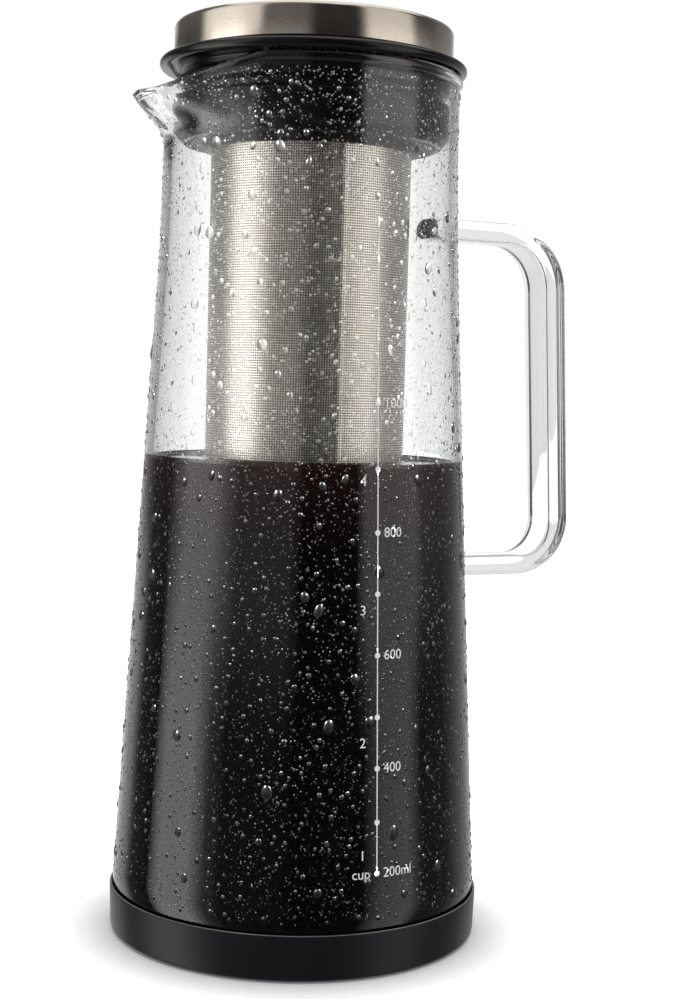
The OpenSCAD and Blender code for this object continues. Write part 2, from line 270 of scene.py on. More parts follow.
def combine(tree, x, y, z):
    node = add(tree, "ShaderNodeCombineXYZ")
    for socket, value in zip(node.inputs, (x, y, z)):
        feed(tree, socket, value)
    return node.outputs[0]


def noise(tree, vector, scale, detail=3.0, roughness=0.5):
    node = add(tree, "ShaderNodeTexNoise")
    node.inputs["Scale"].default_value = scale
    node.inputs["Detail"].default_value = detail
    node.inputs["Roughness"].default_value = roughness
    tree.links.new(vector, node.inputs["Vector"])
    return node.outputs["Fac"]


def map_range(tree, value, source, target=(0.0, 1.0), kind="LINEAR"):
    """Maps a value from the source's low and high to the target's."""
    node = add(tree, "ShaderNodeMapRange", interpolation_type=kind)
    for name, number in zip(("Value", "From Min", "From Max", "To Min", "To Max"), (value, *source, *target)):
        feed(tree, node.inputs[name], number)
    return node.outputs["Result"]


def between(tree, value, low, high):
    """Maps a 0 to 1 value to low to high."""
    return map_range(tree, value, (0.0, 1.0), (low, high))


def smooth_step(tree, value, low, high, top=1.0):
    """0 below low, top above high, and a smooth rise between them."""
    return map_range(tree, value, (low, high), (0.0, top), "SMOOTHSTEP")


def mix_colours(tree, factor, first, second):
    node = add(tree, "ShaderNodeMix", data_type="RGBA")
    for index, value in ((0, factor), (6, first), (7, second)):
        feed(tree, node.inputs[index], value)
    return node.outputs[2]


def bump(tree, shader, height, distance, strength=1.0):
    node = add(tree, "ShaderNodeBump")
    node.inputs["Strength"].default_value = strength
    node.inputs["Distance"].default_value = distance
    tree.links.new(height, node.inputs["Height"])
    tree.links.new(node.outputs[0], shader.inputs["Normal"])


def mirror_first_face_only(tree, shader):
    """Next to nothing is mirrored where a drop wets the glass: only the first face a ray meets mirrors."""
    inside = maths(tree, "MINIMUM", add(tree, "ShaderNodeLightPath").outputs["Transmission Depth"], 1.0)
    tree.links.new(mix_colours(tree, inside, (1, 1, 1, 1), (0, 0, 0, 1)), shader.inputs["Specular Tint"])


def make_clear(shader, tint, ior, roughness=0.0):
    shader.inputs["Base Color"].default_value = tint
    shader.inputs["Roughness"].default_value = roughness
    shader.inputs["IOR"].default_value = ior
    shader.inputs["Transmission Weight"].default_value = 1.0


def glass_material(name, tint, ripple_scale, ripple):
    """Clear glass with a faint fire-polished ripple."""
    material, tree, shader = new_material(name)
    make_clear(shader, tint, GLASS_IOR)
    bump(tree, shader, noise(tree, object_place(tree), ripple_scale, 1.0), ripple)
    return material


def misted_glass_material():
    """The carafe's outer face: fine mist between the modelled drops, as a pebbled bump."""
    material, tree, shader = new_material("misted_glass")
    make_clear(shader, GLASS_TINT, GLASS_IOR)
    mirror_first_face_only(tree, shader)
    place = object_place(tree)
    cells = add(tree, "ShaderNodeTexVoronoi")
    cells.inputs["Scale"].default_value = 1300
    tree.links.new(place, cells.inputs["Vector"])
    bead = maths(tree, "MAXIMUM", maths(tree, "SUBTRACT", 0.32, cells.outputs["Distance"]), 0.0)
    patch = maths(tree, "GREATER_THAN", noise(tree, place, 260, 2.0), 0.56)
    bump(tree, shader, maths(tree, "MULTIPLY", bead, patch), 0.0003, 0.1)
    return material


def water_material():
    """Condensation: soft enough that the softboxes show in the smallest drops."""
    material, tree, shader = new_material("condensation")
    make_clear(shader, (1, 1, 1, 1), WATER_IOR, 0.28)
    mirror_first_face_only(tree, shader)
    bump(tree, shader, noise(tree, object_place(tree), 900, 1.0), 0.00003)
    return material


def coffee_material():
    """Near-black brew. The thin layer under its surface is painted redder and lighter: painted light,
    standing in for light that comes in through the free surface.
    """
    material, tree, shader = new_material("coffee")
    shader.inputs["Roughness"].default_value = 0.05
    place, _, _, z = round_coordinates(tree)
    # only the free surface shines: against the glass there is no air to reflect from
    free = maths(tree, "GREATER_THAN", z, (COFFEE_Z - 0.05) * MM)
    tree.links.new(maths(tree, "MULTIPLY", free, 0.5), shader.inputs["Specular IOR Level"])
    # painted light: the brew is painted lighter and redder towards its surface
    painted_light_near_top = maths(tree, "POWER", map_range(tree, z, ((COFFEE_Z - 26) * MM, COFFEE_Z * MM)), 2.2)
    cloud = between(tree, noise(tree, place, 60, 2.0), 0.6, 1.2)
    colour = mix_colours(tree, maths(tree, "MULTIPLY", painted_light_near_top, cloud),
                         (0.0035, 0.0028, 0.0032, 1), (0.022, 0.0085, 0.0065, 1))
    tree.links.new(colour, shader.inputs["Base Color"])
    return material


def drawn_out(tree, angle, radius, z, along, across):
    """Coordinates for a pattern drawn out round the axis: along scales the angle, across the other two."""
    return combine(tree, maths(tree, "MULTIPLY", angle, along), maths(tree, "MULTIPLY", radius, across),
                   maths(tree, "MULTIPLY", z, across))


def brushed_cap_material():
    """Stainless sheet with fine lines round its side and top."""
    material, tree, shader = new_material("brushed_cap")
    shader.inputs["Metallic"].default_value = 1.0
    shader.inputs["Anisotropic"].default_value = 0.8
    shader.inputs["Anisotropic Rotation"].default_value = 0.25
    _, angle, radius, z = round_coordinates(tree)
    lines = noise(tree, drawn_out(tree, angle, radius, z, 0.35, 60), 60, 6.0, 0.75)
    broad = noise(tree, drawn_out(tree, angle, radius, z, 0.8, 20), 12, 2.0)
    colour = mix_colours(tree, lines, (0.50, 0.455, 0.40, 1), (0.70, 0.645, 0.575, 1))
    tree.links.new(colour, shader.inputs["Base Color"])
    rough = maths(tree, "ADD", between(tree, lines, 0.1, 0.22), between(tree, broad, -0.03, 0.03))
    tree.links.new(rough, shader.inputs["Roughness"])
    tangent = add(tree, "ShaderNodeTangent", direction_type="RADIAL", axis="Z")
    tree.links.new(tangent.outputs[0], shader.inputs["Tangent"])
    bump(tree, shader, lines, 0.00003, 0.5)
    return material


def screen_material():
    """Perforated sheet: a square grid of small round holes with faintly raised lips. The holes are not cut:
    they are painted near-black, painted shade for the dim inside seen through them.
    """
    material, tree, shader = new_material("perforated_screen")
    pitch = 0.68 * MM
    place, angle, _, z = round_coordinates(tree)
    around = maths(tree, "MULTIPLY", angle, screen_high[0] * MM / pitch)
    up = maths(tree, "DIVIDE", z, pitch)
    du = maths(tree, "SUBTRACT", maths(tree, "FRACT", around), 0.5)
    dv = maths(tree, "SUBTRACT", maths(tree, "FRACT", up), 0.5)
    sheet = smooth_step(tree, length_of(tree, du, dv), 0.31, 0.37)
    wear = noise(tree, place, 240, 3.0)
    steel = mix_colours(tree, wear, (0.88, 0.84, 0.77, 1), (0.98, 0.95, 0.88, 1))
    # painted shade: the holes get a near-black colour in place of the dim inside seen through them
    colour = mix_colours(tree, sheet, (0.012, 0.011, 0.01, 1), steel)
    tree.links.new(colour, shader.inputs["Base Color"])
    tree.links.new(sheet, shader.inputs["Metallic"])
    shine = maths(tree, "MULTIPLY", sheet, between(tree, wear, 0.7, 0.75))
    tree.links.new(maths(tree, "SUBTRACT", 1.0, shine), shader.inputs["Roughness"])
    bump(tree, shader, sheet, 0.00008, 0.35)
    return material


def steel_material(name, tone, rough):
    """Pressed steel with a faint cloudy grain."""
    material, tree, shader = new_material(name)
    shader.inputs["Metallic"].default_value = 1.0
    grain = noise(tree, object_place(tree), 700, 3.0)
    tree.links.new(mix_colours(tree, grain, tuple(0.9 * c for c in tone) + (1,), tone + (1,)),
                   shader.inputs["Base Color"])
    tree.links.new(between(tree, grain, rough - 0.05, rough + 0.07), shader.inputs["Roughness"])
    return material


def moulded_material(name, dark, light, rough, grain_scale, grain_depth, gloss=0.35, highlight_z=None):
    """Moulded silicone or plastic: a fine matt grain and slow variation of tone and of roughness, from the
    first value of rough to the second. Above a given height, in mm, it is painted pale: a painted highlight
    along the top lip."""
    material, tree, shader = new_material(name)
    shader.inputs["Specular IOR Level"].default_value = gloss
    place, _, _, z = round_coordinates(tree)
    slow = noise(tree, place, 45, 3.0)
    grain = noise(tree, place, grain_scale, 2.0)
    colour = mix_colours(tree, slow, dark + (1,), light + (1,))
    if highlight_z:
        # painted highlight: the top lip is painted pale where a thin glint of light runs along it
        painted_highlight = maths(tree, "MULTIPLY", maths(tree, "GREATER_THAN", z, highlight_z * MM), slow)
        colour = mix_colours(tree, painted_highlight, colour, (0.3, 0.285, 0.27, 1))
    tree.links.new(colour, shader.inputs["Base Color"])
    tree.links.new(between(tree, slow, *rough), shader.inputs["Roughness"])
    bump(tree, shader, grain, grain_depth, 0.5)
    return material


def print_material():
    """White screen print, very slightly uneven."""
    material, tree, shader = new_material("white_print")
    shader.inputs["Roughness"].default_value = 0.55
    uneven = noise(tree, object_place(tree), 1500, 2.0)
    colour = mix_colours(tree, uneven, (0.72, 0.72, 0.73, 1), (0.9, 0.9, 0.91, 1))
    tree.links.new(colour, shader.inputs["Base Color"])
    return material


MATERIALS = {
    "glass": glass_material("clear_glass", GLASS_TINT, 40, 0.00004),
    "mist": misted_glass_material(),
    # the handle's glass is tinted grey: painted shade standing in for the darker surroundings its thick glass
    # bends and mirrors
    "handle": glass_material("handle_glass", (0.77, 0.775, 0.78, 1), 55, 0.00006),
    "water": water_material(),
    "coffee": coffee_material(),
    "cap": brushed_cap_material(),
    "screen": screen_material(),
    "pressed": steel_material("pressed_steel", (0.66, 0.62, 0.56), 0.3),
    "silicone": moulded_material("black_silicone", (0.002, 0.002, 0.003), (0.004, 0.004, 0.0055), (0.13, 0.2),
                                 2500, 0.00001),
    "moulding": moulded_material("black_moulding", (0.004, 0.004, 0.0045), (0.007, 0.007, 0.008), (0.3, 0.42),
                                 3200, 0.00002),
    # the boot's top lip is painted pale above this height: a painted highlight
    "boot": moulded_material("soft_boot", (0.0075, 0.007, 0.0095), (0.0115, 0.011, 0.014), (0.3, 0.38),
                             2200, 0.00003, 0.2, boot_high[2] - 0.16),
    "print": print_material(),
}


def dress(obj, material):
    obj.data.materials.clear()
    obj.data.materials.append(MATERIALS[material])


def piece(obj, body, material, stands_for=None):
    """Gives a new piece its material and body and, where it has one, hides the node it replaces."""
    dress(obj, material)
    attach(obj, body)
    if stands_for:
        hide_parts(stands_for)


# ---------------- carafe glass
def spout_radius(turn, z, neck_r, tip_r, root_z, tip_low_z):
    """Radius of the wall at an angle from the spout's middle: two flat sides run from the neck to a round
    tip, which grows out of the neck between root_z and tip_low_z."""
    grow = np.clip((z - root_z) / (tip_low_z - root_z), 0, 1)
    centre = SPOUT_TIP_X * grow
    r = neck_r + (tip_r - neck_r) * grow
    side = math.acos((neck_r - tip_r) / SPOUT_TIP_X)
    turn = np.abs(turn)
    flat = neck_r / np.maximum(np.cos(np.minimum(turn, side) - side), 0.2)
    tip_turn = np.arctan2(r * math.sin(side), centre + r * math.cos(side))
    inside = np.maximum(r * r - np.square(centre * np.sin(turn)), 0)
    round_tip = centre * np.cos(turn) + np.sqrt(inside)
    shaped = np.where(turn >= side, neck_r, np.where(turn >= tip_turn, flat, round_tip))
    return np.maximum(shaped, 0)


def lip_height(turn):
    """Height of the lip's top: level at the rim, falling in a straight line to the spout's tip."""
    side = math.acos((NECK_R - SPOUT_TIP_R) / SPOUT_TIP_X)
    tip_turn = math.atan2(SPOUT_TIP_R * math.sin(side), SPOUT_TIP_X + SPOUT_TIP_R * math.cos(side))
    along = np.tan(np.clip(side - np.abs(turn), 0, side - tip_turn)) / math.tan(side - tip_turn)
    return RIM_Z - (RIM_Z - SPOUT_TIP_Z) * along


def smooth_columns(values, passes):
    for _ in range(passes):
        values = (np.roll(values, 1, 0) + 2 * values + np.roll(values, -1, 0)) / 4
    return values


def wall_rows(turn, turn_signed, top, inner):
    """Radii and heights of the outer or inner wall as [column, row] grids, from above the boot to top."""
    shift = GLASS_T if inner else 0.0
    rise = SPOUT_INNER_RISE if inner else 0.0
    zone_low = SPOUT_ROOT_Z - 4
    rows = []
    for z in np.linspace(WALL_LOW_Z, zone_low, WALL_ROWS):
        rows.append((np.full_like(turn, wall_radius(z) - shift), np.full_like(turn, z)))
    for part in np.linspace(0, 1, SPOUT_ROWS + 1)[1:]:
        z = zone_low + (top - zone_low) * part
        # near the spout the wall follows its shape, elsewhere it is round
        shaped = spout_radius(turn_signed, z, NECK_R - shift, SPOUT_TIP_R - shift,
                              SPOUT_ROOT_Z + rise, SPOUT_TIP_Z - 2 * LIP_BEAD_R + rise)
        rows.append((np.maximum(shaped, wall_radius(z) - shift), z))
    return np.array([r for r, _ in rows]).T, np.array([z for _, z in rows]).T


def soften_spout(grid, turn_signed):
    """Softens the creases of the spout, on the columns near it and the rows above its root."""
    near = np.clip((SOFT_TO - np.abs(turn_signed)) / SOFT_FADE, 0, 1)[:, None]
    rows_in = np.zeros(grid.shape[1])
    rows_in[WALL_ROWS - 6:] = 1
    for _ in range(SOFT_PASSES):
        soft = grid.copy()
        soft[:, 1:-1] = (grid[:, :-2] + 2 * grid[:, 1:-1] + grid[:, 2:]) / 4
        soft = smooth_columns(soft, 1)
        grid += (soft - grid) * near * rows_in


def carafe_surface():
    """Angles of the columns, then the outer wall, the rolled rim and the inner wall as (radius, height) grids
    of [column, row], from the boot over the rim and down inside."""
    fine = np.linspace(-SPOUT_ZONE, SPOUT_ZONE, 201)
    coarse = np.linspace(SPOUT_ZONE, TAU - SPOUT_ZONE, 161)[1:-1]
    turn = np.concatenate([fine, coarse])
    turn_signed = (turn + math.pi) % TAU - math.pi
    lip = smooth_columns(lip_height(turn_signed), 12)
    near_tip = np.clip((RIM_Z - lip) / (RIM_Z - SPOUT_TIP_Z), 0, 1)
    bead = RIM_BEAD_R + (LIP_BEAD_R - RIM_BEAD_R) * near_tip
    outer_top = lip - (bead + np.sqrt(np.maximum(bead**2 - (GLASS_T - bead) ** 2, 0)))
    outer_r, outer_z = wall_rows(turn, turn_signed, outer_top, False)
    inner_r, inner_z = wall_rows(turn, turn_signed, lip - bead, True)
    soften_spout(outer_r, turn_signed)
    soften_spout(inner_r, turn_signed)
    # the rolled rim: an arc from the outer wall over the top to the inner wall
    centre_r = inner_r[:, -1] + bead
    centre_z = lip - bead
    start = np.arctan2(outer_z[:, -1] - centre_z, outer_r[:, -1] - centre_r)
    arc_r, arc_z = [], []
    for part in np.linspace(0, 1, 15)[1:-1]:
        a = start + (math.pi - start) * part
        arc_r.append(centre_r + bead * np.cos(a))
        arc_z.append(centre_z + bead * np.sin(a))
    rim = (np.array(arc_r).T, np.array(arc_z).T)
    return turn, (outer_r, outer_z), rim, (inner_r[:, ::-1], inner_z[:, ::-1])


def foot_rows(foot_r, low_z, round_r, count):
    """Rounded foot from near the axis out to the wall."""
    rows = [(foot_r - round_r) * part for part in (0.25, 0.5, 0.75)]
    outline = [(r, low_z) for r in rows]
    for k in range(count + 1):
        a = math.radians(-90 + 90 * k / count)
        outline.append((foot_r - round_r + round_r * math.cos(a), low_z + round_r + round_r * math.sin(a)))
    return outline


def make_carafe():
    """One closed shell: floor, outer wall, rim, inner wall and inner floor."""
    turn, outer, rim, inner = carafe_surface()
    columns = len(turn)
    low_z = glass_low[2]
    foot = foot_rows(FOOT_R, low_z, FOOT_ROUND, 10)
    inner_foot = foot_rows(FOOT_R - GLASS_T, low_z + GLASS_FLOOR_T, FOOT_ROUND - GLASS_T, 10)[::-1]
    ones = np.ones((columns, 1))
    r, z = (np.hstack([ones * [p[i] for p in foot], outer[i], rim[i], inner[i],
                       ones * [p[i] for p in inner_foot]]) for i in (0, 1))
    rows = r.shape[1]
    away = turn + math.pi
    points = np.stack([r * np.cos(away)[:, None], r * np.sin(away)[:, None], z], 2).reshape(-1, 3).tolist()
    faces = []
    for i in range(columns):
        j = (i + 1) % columns
        for k in range(rows - 1):
            faces.append([i * rows + k, j * rows + k, j * rows + k + 1, i * rows + k + 1])
    outside_faces = len(faces)
    points += [[0, 0, low_z], [0, 0, low_z + GLASS_FLOOR_T]]
    under, over = columns * rows, columns * rows + 1
    for i in range(columns):
        j = (i + 1) % columns
        faces.append([under, j * rows, i * rows])
        faces.append([over, i * rows + rows - 1, j * rows + rows - 1])
    obj = make_mesh("carafe_glass_blown", points, faces, sharp=60)
    piece(obj, "carafe", "glass", "carafe_glass")
    obj.data.materials.append(MATERIALS["mist"])
    # the mist lies on the outer wall, from the boot to just under the rim
    first = len(foot)
    last = first + outer[0].shape[1] - 1
    for face in obj.data.polygons:
        k = face.index % (rows - 1) if face.index < outside_faces else -1
        if first <= k < last:
            face.material_index = 1
    return obj


carafe = make_carafe()


# ---------------- handle
def quarter(cx, cy, r, from_deg, count):
    """Quarter circle of points round a centre."""
    return [(cx + r * math.cos(math.radians(from_deg + 90 * k / count)),
             cy + r * math.sin(math.radians(from_deg + 90 * k / count))) for k in range(count + 1)]


def strap_section(steps=7):
    """Strap seen end on, as (out, side) points: flat towards the carafe, well rounded outside."""
    t, w, out_r, in_r = STRAP_T / 2, STRAP_W / 2, 3.0, 1.3
    return (quarter(t - out_r, w - out_r, out_r, 0, steps) + quarter(in_r - t, w - in_r, in_r, 90, steps)
            + quarter(in_r - t, in_r - w, in_r, 180, steps)
            + quarter(t - out_r, out_r - w, out_r, 270, steps))


def handle_arm(end_x, z, facing, parts):
    """Straight arm as (x, z, angle of its outer face): parts run from 0 at the wall to 1 at end_x."""
    start_x = float(wall_radius(z)) - HANDLE_SUNK
    return [(start_x + (end_x - start_x) * part**1.5, z, facing) for part in parts]


def handle_bend(x, z, radius, start, end):
    bend = []
    for part in np.linspace(0, 1, 25):
        a = start + (end - start) * part
        bend.append((x + radius * math.cos(a), z + radius * math.sin(a), a))
    return bend


def near_root(gap, reach):
    """1 at the wall, falling to 0 at reach from it."""
    return max(0.0, 1 - max(gap, 0) / reach) ** 2


def make_handle():
    """The strap follows arm, bend, grip, bend and arm. Near its roots it turns oval and flares."""
    lean = math.atan(TAPER)
    mid_z = (HANDLE_TOP_Z + HANDLE_LOW_Z) / 2
    mid_x = float(wall_radius(mid_z)) + HANDLE_REACH - GRIP_T / 2
    top_z, low_z = HANDLE_TOP_Z - BEND_TOP_R, HANDLE_LOW_Z + BEND_LOW_R
    top_x = mid_x + (mid_z - top_z) * TAPER - BEND_TOP_R / math.cos(lean)
    low_x = mid_x + (mid_z - low_z) * TAPER - BEND_LOW_R / math.cos(lean)
    line = handle_arm(top_x, HANDLE_TOP_Z, math.pi / 2, np.linspace(0, 1, 26)[:-1])
    line += handle_bend(top_x, top_z, BEND_TOP_R, math.pi / 2, lean)
    line += handle_bend(low_x, low_z, BEND_LOW_R, lean, -math.pi / 2)
    line += handle_arm(low_x, HANDLE_LOW_Z, -math.pi / 2, np.linspace(1, 0, 26)[1:])
    flat = np.array(strap_section())
    turn = np.arctan2(flat[:, 1] * STRAP_T, flat[:, 0] * STRAP_W)
    oval = np.stack([np.cos(turn) * STRAP_T / 2, np.sin(turn) * STRAP_W / 2], 1)
    centres, frames, sections = [], [], []
    for x, z, a in line:
        gap = x - float(wall_radius(z))
        sections.append(flat + (oval - flat) * near_root(gap, 5.0))
        flare = 1 + 0.13 * near_root(gap, 6.0)
        thicker = 1 + (GRIP_T / STRAP_T - 1) * math.cos(a - lean) ** 2
        centres.append((x, 0, z))
        frames.append(((math.cos(a) * thicker, 0, math.sin(a) * thicker), (0, 1, 0), flare))
    return tube("carafe_handle_strap", centres, frames, sections)


piece(make_handle(), "carafe", "handle", "carafe_handle")

# ---------------- boot
BOOT_R, BOOT_H, BOOT_FLOOR_T = boot_high[0], boot_high[2], glass_low[2]
boot_outline = rounded([
    (0, 0), (BOOT_R - 5, 0, 0), (BOOT_R - 4.6, 0.35, 0.2), (BOOT_R - 0.4, 0.35, 1.3), (BOOT_R, BOOT_H, 0.45),
    (BODY_R + 0.12, BOOT_H, 0.3), (FOOT_R + 0.06, BOOT_H - 3.2, 0.4),
    (FOOT_R + 0.06, BOOT_FLOOR_T - 0.1, FOOT_ROUND), (0, BOOT_FLOOR_T - 0.1)])
boot = lathe("base_boot_moulded", boot_outline, 256, closed=False)
piece(boot, "carafe", "boot", "base_boot")

# ---------------- stopper sleeve
PLUG_R = BORE_R - 0.35
PLUG_LOW_Z = RIM_Z - 20.0
WAIST_R = PLUG_R - 1.9
FLANGE_Z = sleeve_low[2] + 20.15
FLANGE_R = sleeve_high[0]
SLEEVE_TOP_Z = sleeve_high[2]
CORE_R = WAIST_R - 1.85
COLLAR_RIM_R = CORE_R + 1.25
sleeve_outline = rounded([
    (CORE_R + 0.05, PLUG_LOW_Z + 5), (CORE_R + 0.05, PLUG_LOW_Z, 0.3), (PLUG_R - 2.2, PLUG_LOW_Z, 0.5),
    (PLUG_R, PLUG_LOW_Z + 2.2, 1.0), (PLUG_R, PLUG_LOW_Z + 10.9, 0.6), (WAIST_R, PLUG_LOW_Z + 11.8, 0.5),
    (WAIST_R, PLUG_LOW_Z + 13.4, 0.5), (PLUG_R, PLUG_LOW_Z + 14.4, 0.7), (PLUG_R, PLUG_LOW_Z + 17.2, 0.7),
    (WAIST_R, PLUG_LOW_Z + 18.3, 0.5), (WAIST_R, FLANGE_Z, 0.4), (FLANGE_R, FLANGE_Z, 1.35),
    (FLANGE_R, FLANGE_Z + 2.75, 1.35), (FLANGE_R - 1.6, FLANGE_Z + 2.9, 0.8),
    (cap_high[0] + 0.2, SLEEVE_TOP_Z, 0.5),
    (COLLAR_RIM_R + 0.35, SLEEVE_TOP_Z - 0.9, 0.3), (COLLAR_RIM_R + 0.35, SLEEVE_TOP_Z - 2.7, 0.2),
    (CORE_R + 0.05, SLEEVE_TOP_Z - 2.7)])
sleeve = lathe("stopper_sleeve_moulded", sleeve_outline, 224)
piece(sleeve, "stopper", "silicone", "stopper_sleeve")

# ---------------- filter screen
SCREEN_R = screen_high[0]
SCREEN_T = 0.3
SEAM_TURN = math.radians(-99)
SEAM_HALF = 1.5 / SCREEN_R
SEAM_STEPS = 12
SEAM_ENDS = (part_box("filter_cup")[1].z / MM + 0.3, collar_low[2] - 0.3)
screen_outline = [(SCREEN_R - SCREEN_T, screen_low[2]), (SCREEN_R, screen_low[2])]
for row in range(1, 21):
    screen_outline.append((SCREEN_R, screen_low[2] + (screen_high[2] - screen_low[2]) * row / 20))
screen_outline.append((SCREEN_R - SCREEN_T, screen_high[2]))


def seam_row(bm, k, lift):
    """Two vertices, at the seam's lower and upper end, at step k across it and lift from the tube."""
    a = SEAM_TURN - SEAM_HALF + 2 * SEAM_HALF * k / SEAM_STEPS
    r = MM * (SCREEN_R + lift)
    return [bm.verts.new((r * math.cos(a), r * math.sin(a), MM * z)) for z in SEAM_ENDS]


def make_screen():
    """The rolled tube and its lapped seam, a strip that stands a little proud of the tube."""
    obj = lathe("filter_screen_rolled", screen_outline, 240)
    bm = bmesh.new()
    bm.from_mesh(obj.data)
    front, back = [], []
    for k in range(SEAM_STEPS + 1):
        lift = 0.12 * min(1, 3 * k / SEAM_STEPS, 3 * (SEAM_STEPS - k) / SEAM_STEPS) + 0.02
        front.append(seam_row(bm, k, lift))
    for k in range(SEAM_STEPS + 1):
        back.append(seam_row(bm, k, -0.1))
    for k in range(SEAM_STEPS):
        bm.faces.new((front[k][0], front[k + 1][0], front[k + 1][1], front[k][1]))
        bm.faces.new((back[k][1], back[k + 1][1], back[k + 1][0], back[k][0]))
        bm.faces.new((front[k][1], front[k + 1][1], back[k + 1][1], back[k][1]))
        bm.faces.new((front[k + 1][0], front[k][0], back[k][0], back[k + 1][0]))
    for k in (0, SEAM_STEPS):
        bm.faces.new((front[k][0], front[k][1], back[k][1], back[k][0]))
    bmesh.ops.recalc_face_normals(bm, faces=bm.faces)
    bm.to_mesh(obj.data)
    bm.free()
    obj.data.shade_smooth()
    obj.data.set_sharp_from_angle(angle=math.radians(40))
    return obj


piece(make_screen(), "filter", "screen", "filter_screen")

# ---------------- steel cap
CAP_R, CAP_TOP_Z, CAP_LOW_Z = cap_high[0], cap_high[2], cap_low[2]
SHEET_T = 0.6
cap_outline = rounded([
    (CAP_R - 1.6, CAP_LOW_Z), (CAP_R, CAP_LOW_Z, 0.35), (CAP_R, CAP_TOP_Z, 1.5), (0, CAP_TOP_Z),
    (0, CAP_TOP_Z - SHEET_T), (CAP_R - SHEET_T, CAP_TOP_Z - SHEET_T, 0.9),
    (CAP_R - SHEET_T, CAP_LOW_Z + SHEET_T, 0.1), (CAP_R - 1.6, CAP_LOW_Z + SHEET_T)])
piece(lathe("lid_cap_drawn", cap_outline, 256), "lid", "cap", "lid_cap")

# ---------------- CAD nodes that keep their own shape
for name, material in (
        ("stopper_core", "moulding"), ("filter_collar", "moulding"), ("filter_cup", "pressed"),
        ("filter_washer", "silicone"), ("lid_plug", "moulding"), ("lid_ring", "silicone")):
    dress(nodes[name], material)


# ---------------- coffee
def make_coffee():
    """Brew up to COFFEE_Z, pressed 0.05 mm into the glass so that no air shows between them."""
    press = 0.05
    foot_r = FOOT_R - GLASS_T + press
    outline = foot_rows(foot_r, glass_low[2] + GLASS_FLOOR_T - press, FOOT_ROUND - GLASS_T, 10)
    outline = [(0, outline[0][1])] + outline
    for z in np.linspace(WALL_LOW_Z, COFFEE_Z, 40):
        outline.append((float(wall_radius(z)) - GLASS_T + press, z))
    rim_r = outline[-1][0]
    # the surface creeps up the glass and up the filter a little
    outline += [(rim_r, COFFEE_Z + 0.9), (rim_r - 0.35, COFFEE_Z + 0.45), (rim_r - 0.9, COFFEE_Z + 0.12),
                (rim_r - 1.8, COFFEE_Z), (SCREEN_R + 2, COFFEE_Z), (SCREEN_R + 0.8, COFFEE_Z + 0.1),
                (SCREEN_R + 0.05, COFFEE_Z + 0.6), (SCREEN_R - 2, COFFEE_Z), (0, COFFEE_Z)]
    return lathe("coffee_brew", outline, 192, closed=False)


piece(make_coffee(), "carafe", "coffee")


# ---------------- printed scale
PRINT_TURN = math.radians(-91.4)
PRINT_LIFT = 0.04
PRINT_HALF_T = 0.02
PRINT_SIZE = 3.7


def on_wall(side, z):
    """Point on the outer wall, side mm to the right of the scale's line as seen from outside."""
    r = wall_radius(z) + PRINT_LIFT
    a = PRINT_TURN + side / r
    return r * np.cos(a), r * np.sin(a), z


def wrap(obj):
    """Bends a flat print, drawn in mm in the XY plane, round the wall."""
    for v in obj.data.vertices:
        x, y, z = on_wall(v.co.x, v.co.y)
        lift = v.co.z
        r = math.hypot(x, y)
        v.co = Vector((x * (r + lift) / r, y * (r + lift) / r, z)) * MM


def print_label(name, text, side, z, align="LEFT"):
    curve = bpy.data.curves.new(name, "FONT")
    curve.body = text
    curve.size = PRINT_SIZE
    curve.align_x = align
    curve.align_y = "CENTER"
    curve.extrude = PRINT_HALF_T
    curve.resolution_u = 4
    holder = bpy.data.objects.new(name + "_curve", curve)
    bpy.context.scene.collection.objects.link(holder)
    bpy.context.view_layer.update()
    mesh = bpy.data.meshes.new_from_object(holder)
    bpy.data.objects.remove(holder)
    obj = bpy.data.objects.new(name, mesh)
    bpy.context.scene.collection.objects.link(obj)
    for v in obj.data.vertices:
        v.co.x += side
        v.co.y += z
    return obj


def print_strip(name, side, width, low, high, steps):
    left, right = side - width / 2, side + width / 2
    section = ((left, -PRINT_HALF_T), (right, -PRINT_HALF_T), (right, PRINT_HALF_T), (left, PRINT_HALF_T))
    points, faces = [], []
    for k in range(steps + 1):
        z = low + (high - low) * k / steps
        points += [(x, z, out) for x, out in section]
    for k in range(steps):
        a, b = 4 * k, 4 * k + 4
        for j in range(4):
            n = (j + 1) % 4
            faces.append([a + j, a + n, b + n, b + j])
    faces += [[0, 1, 2, 3], [4 * steps, 4 * steps + 1, 4 * steps + 2, 4 * steps + 3]]
    return make_mesh(name, np.array(points) / MM, faces)


def print_dot(name, side, z, radius):
    count = 20
    points = []
    for level in (-PRINT_HALF_T, PRINT_HALF_T):
        for k in range(count):
            a = TAU * k / count
            points.append((side + radius * math.cos(a), z + radius * math.sin(a), level))
    faces = [list(range(count))[::-1], list(range(count, 2 * count))]
    for k in range(count):
        n = (k + 1) % count
        faces.append([k, n, count + n, count + k])
    return make_mesh(name, np.array(points) / MM, faces)


SCALE_MARKS = ((200, 28.1), (300, 41.6), (400, 55.8), (500, 69.3), (600, 85.6), (700, 101.7), (800, 117.8),
               (900, 134.5), (1000, 151.8))
LABELLED = {200: "200ml", 400: "400", 600: "600", 800: "800", 1000: "1000"}
CUPS = (("1", 33.0), ("2", 62.6), ("3", 97.4), ("4", 131.2))


